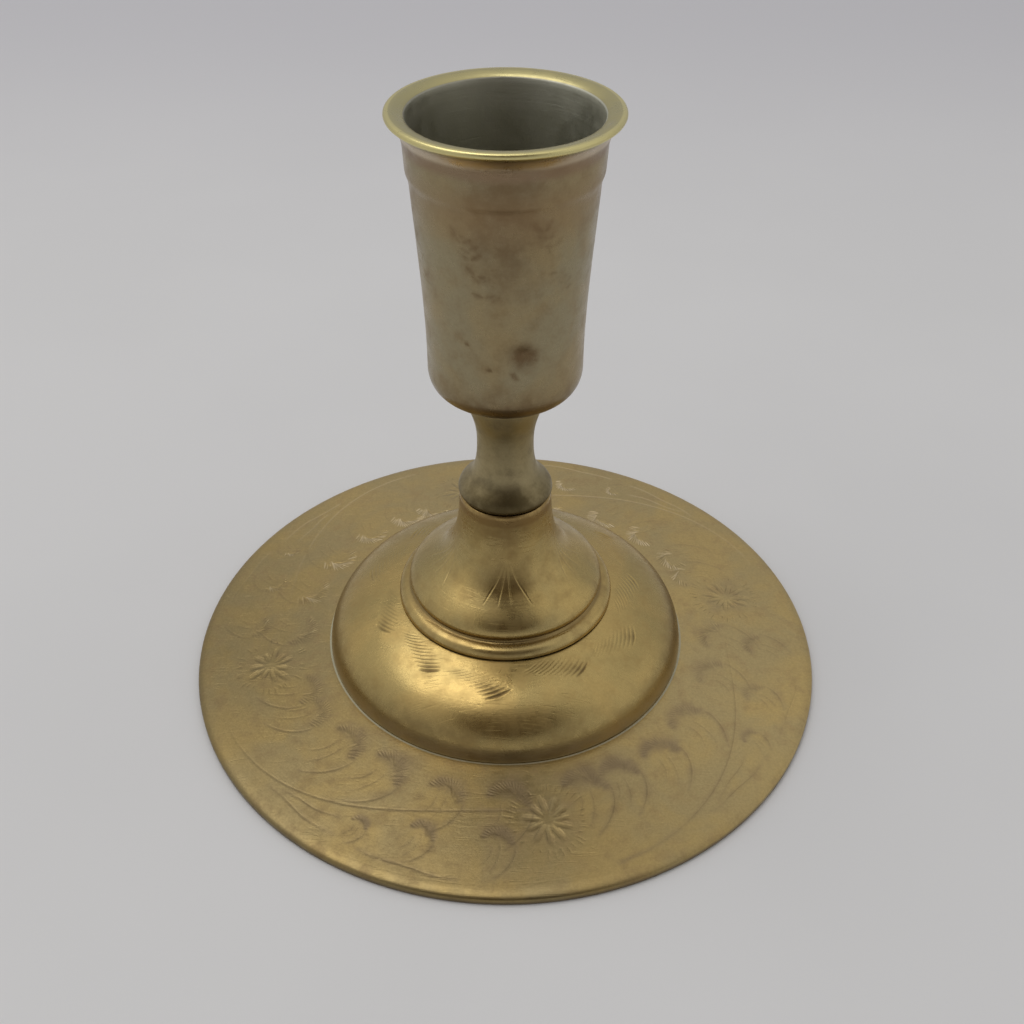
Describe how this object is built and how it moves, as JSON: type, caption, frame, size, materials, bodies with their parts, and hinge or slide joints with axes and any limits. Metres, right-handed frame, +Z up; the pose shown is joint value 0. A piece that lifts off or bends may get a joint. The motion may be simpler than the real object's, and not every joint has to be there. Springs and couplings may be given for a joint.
{
  "type": "candlestick",
  "caption": "Short brass altar candlestick: tapered candle cup with a flared lip on a turned neck, a bell and dome foot and a wide round base plate; cup and neck unscrew together.",
  "frame": {"origin": "on the axis of the turned parts, in the plane that the base plate's lip rests on", "axes": "+Z up along the axis, out of the candle cup's mouth; +X to the right and +Y to the back when the side with the sunburst flowers to left and right is seen from the front"},
  "size_m": [0.114, 0.114, 0.102],
  "materials": {
    "cup_brass": "tarnished olive-brown brass, satin, with a brighter lip",
    "neck_brass": "tarnished satin brass, darker in the waist",
    "bell_brass": "satin brass, brown tarnish, brighter on the shoulder",
    "dome_brass": "rubbed gold brass with engraved leaf strokes",
    "plate_brass": "matt scratched brass, hand-engraved flowers and leaves",
    "stud_brass": "bright machined brass thread",
    "screw_brass": "dull brass with a straight slot",
    "zinc_steel": "dull zinc-plated steel"
  },
  "bodies": {
    "foot": {"base_plate": "plate_brass", "dome": "dome_brass", "bell": "bell_brass", "base_washer": "zinc_steel", "base_nut": "zinc_steel"},
    "stud": {"tie_stud": "stud_brass"},
    "top": {"candle_cup": "cup_brass", "neck": "neck_brass", "cup_screw": "screw_brass"}
  },
  "joints": [
    {"name": "stem_turn", "type": "hinge", "parent": "foot", "child": "stud", "pos_m": [0, 0, 0.03635], "axis": [0, 0, 1], "range_deg": [0, 2880]},
    {"name": "stem_rise", "type": "slide", "parent": "stud", "child": "top", "axis": [0, 0, 1], "range_m": [0, 0.0064]}
  ],
  "couplings": [
    {"joint": "stem_turn", "follows": "stem_rise", "rad_per_m": 7854}
  ]
}
